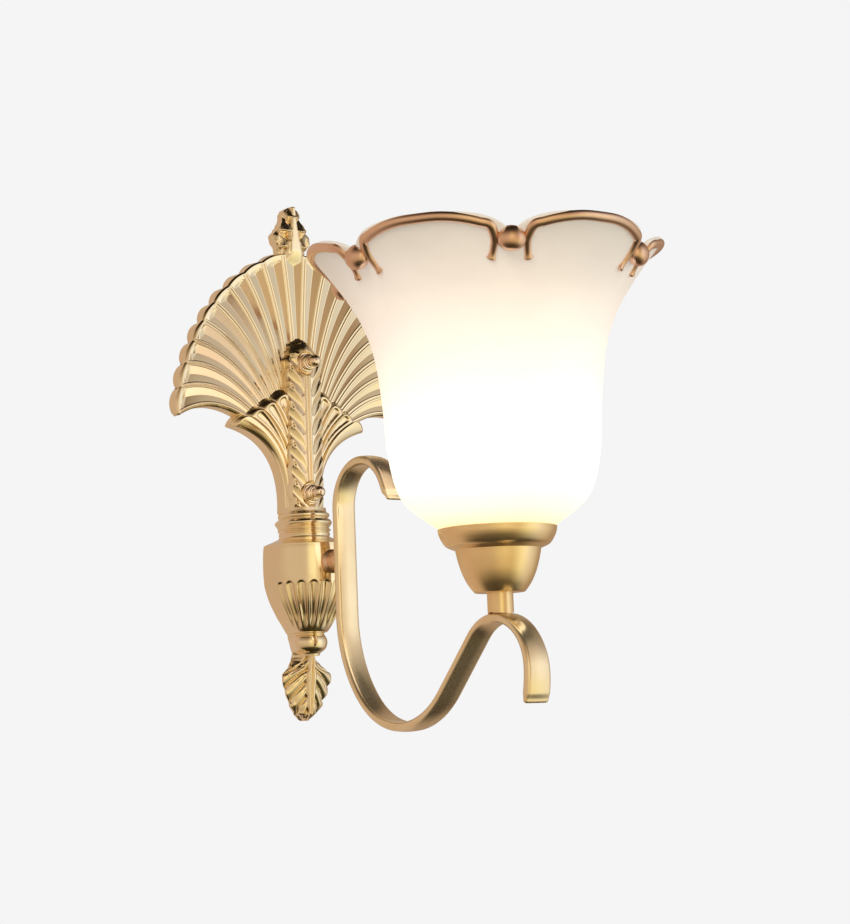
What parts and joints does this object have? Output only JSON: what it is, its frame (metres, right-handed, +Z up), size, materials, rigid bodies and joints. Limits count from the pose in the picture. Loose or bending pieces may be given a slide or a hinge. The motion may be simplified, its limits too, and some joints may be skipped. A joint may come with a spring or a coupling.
{
  "type": "wall lamp",
  "caption": "Wall lamp with a fluted fan backplate, an S-shaped arm with curled ends, a turned cup and an upright bell shade with a lobed rim.",
  "frame": {"origin": "on the wall, midway between the two cap nuts, at the centre of the bracket's two wall screw slots", "axes": "+X right as seen from the room, +Z up, and the lamp stands out from the wall to -Y"},
  "size_m": [0.1606, 0.2563, 0.2747],
  "materials": {
    "cast_gold": "polished pale gold plating on a casting",
    "satin_gold": "satin plated tube",
    "brushed_brass": "turned and brushed",
    "copper_gold": "polished copper gold",
    "plain_brass": "plain turned brass",
    "zinc_steel": "zinc plated",
    "nickel": "nickel plated",
    "white_plastic": "moulded",
    "board_white": "solder mask",
    "brown_insulation": "insulation",
    "blue_insulation": "insulation",
    "gasket_fibre": "matt",
    "frosted_glass": "frosted, translucent, lit from inside",
    "bulb_diffuser": "opal, lit"
  },
  "bodies": {
    "root": {"backplate": "cast_gold", "wall_bracket": "zinc_steel", "bracket_studs": "zinc_steel", "stud_nuts": "zinc_steel", "cap_nuts": "copper_gold", "earth_screw": "plain_brass", "earth_washer": "plain_brass", "terminal_block": "white_plastic", "terminal_screws": "zinc_steel", "terminal_mount_screw": "zinc_steel", "arm_nipple": "plain_brass", "arm_nut": "plain_brass", "arm_washer": "zinc_steel", "collar": "copper_gold", "arm": "satin_gold", "live_lead": "brown_insulation", "neutral_lead": "blue_insulation", "neck_tube": "brushed_brass", "lamp_nipple": "plain_brass", "cup": "brushed_brass", "cup_washer": "zinc_steel", "cup_nut": "plain_brass", "holder_base": "white_plastic", "holder_skirt": "white_plastic", "holder_insert": "white_plastic", "holder_shell": "nickel", "centre_contact": "plain_brass", "side_contact": "plain_brass", "holder_screws": "zinc_steel", "shade_gasket": "gasket_fibre", "shade": "frosted_glass"},
    "ring_lift": {"ring_washer": "zinc_steel"},
    "ring": {"shade_ring": "white_plastic"},
    "bulb_lift": {"bulb_contact": "nickel"},
    "bulb": {"bulb_cap": "nickel", "bulb_housing": "white_plastic", "led_board": "board_white", "bulb_dome": "bulb_diffuser"}
  },
  "joints": [
    {"name": "ring_rise", "type": "slide", "parent": "root", "child": "ring_lift", "axis": [0, 0, 1], "range_m": [0, 0.0165]},
    {"name": "ring_turn", "type": "hinge", "parent": "ring_lift", "child": "ring", "pos_m": [0, -0.17332, -0.06], "axis": [0, 0, 1], "range_deg": [0, 1980]},
    {"name": "bulb_rise", "type": "slide", "parent": "root", "child": "bulb_lift", "axis": [0, 0, 1], "range_m": [0, 0.01815]},
    {"name": "bulb_turn", "type": "hinge", "parent": "bulb_lift", "child": "bulb", "pos_m": [0, -0.17332, -0.06], "axis": [0, 0, 1], "range_deg": [0, 1800]}
  ],
  "couplings": [
    {"joint": "ring_turn", "follows": "ring_rise", "rad_per_m": 2094.4},
    {"joint": "bulb_turn", "follows": "bulb_rise", "rad_per_m": 1730.9}
  ]
}
